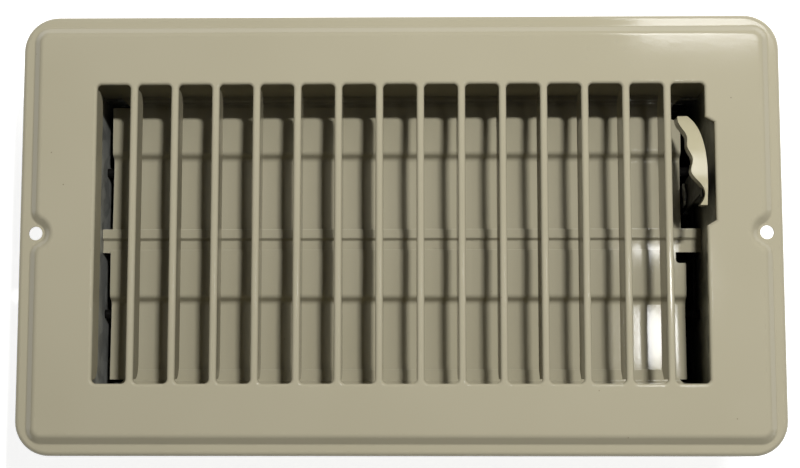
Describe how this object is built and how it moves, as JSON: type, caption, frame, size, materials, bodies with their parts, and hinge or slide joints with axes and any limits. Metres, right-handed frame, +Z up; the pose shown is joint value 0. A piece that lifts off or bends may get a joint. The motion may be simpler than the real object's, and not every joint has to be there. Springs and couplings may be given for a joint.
{
  "type": "floor register",
  "caption": "Stamped steel floor register with turned-down fins, a sleeve for a rectangular duct, linked damper blades and a thumb lever that opens and closes them.",
  "frame": {"origin": "midway between the screw holes, on the underside of the rim", "axes": "+X along the row of slots towards the lever, +Y along the slots, +Z up out of the floor"},
  "size_m": [0.2414, 0.1396, 0.0618],
  "materials": {
    "tan_enamel": "gloss enamel",
    "galvanised_steel": "galvanised, fine spangle",
    "zinc_steel": "zinc plated",
    "black_steel": "black oxide",
    "tan_plastic": "moulded"
  },
  "bodies": {
    "frame": {"face_plate": "tan_enamel", "rear_wall": "tan_enamel", "front_wall": "tan_enamel", "left_end_plate": "galvanised_steel", "right_end_plate": "galvanised_steel", "corner_rivets": "zinc_steel", "center_bar": "tan_enamel", "lever_rivet": "zinc_steel", "lever_washer": "zinc_steel"},
    "rear_damper": {"rear_blade": "tan_enamel", "rear_left_pin": "zinc_steel", "rear_right_pin": "zinc_steel", "rear_crank": "zinc_steel", "rear_crank_pin": "zinc_steel"},
    "front_damper": {"front_blade": "tan_enamel", "front_left_pin": "zinc_steel", "front_right_pin": "zinc_steel", "front_crank": "zinc_steel", "front_crank_pin": "zinc_steel"},
    "link": {"link_bar": "zinc_steel"},
    "lever": {"lever_arm": "black_steel", "lever_drive_pin": "zinc_steel", "thumb_grip": "tan_plastic"}
  },
  "joints": [
    {"name": "rear_blade_pivot", "type": "hinge", "parent": "frame", "child": "rear_damper", "pos_m": [0, 0.0239, -0.0312], "axis": [1, 0, 0], "range_deg": [0, 75]},
    {"name": "front_blade_pivot", "type": "hinge", "parent": "frame", "child": "front_damper", "pos_m": [0, -0.0239, -0.0312], "axis": [1, 0, 0], "range_deg": [0, 75]},
    {"name": "link_pivot", "type": "hinge", "parent": "rear_damper", "child": "link", "pos_m": [0.09795, 0.02025, -0.03596], "axis": [1, 0, 0], "range_deg": [-75, 0]},
    {"name": "lever_pivot", "type": "hinge", "parent": "frame", "child": "lever", "pos_m": [0.0945, 0.015, -0.0252], "axis": [1, 0, 0], "range_deg": [0, 25]}
  ],
  "couplings": [
    {"joint": "front_blade_pivot", "follows": "rear_blade_pivot", "ratio": 1},
    {"joint": "link_pivot", "follows": "rear_blade_pivot", "ratio": -1},
    {"joint": "lever_pivot", "follows": "rear_blade_pivot", "ratio": 0.33333}
  ]
}
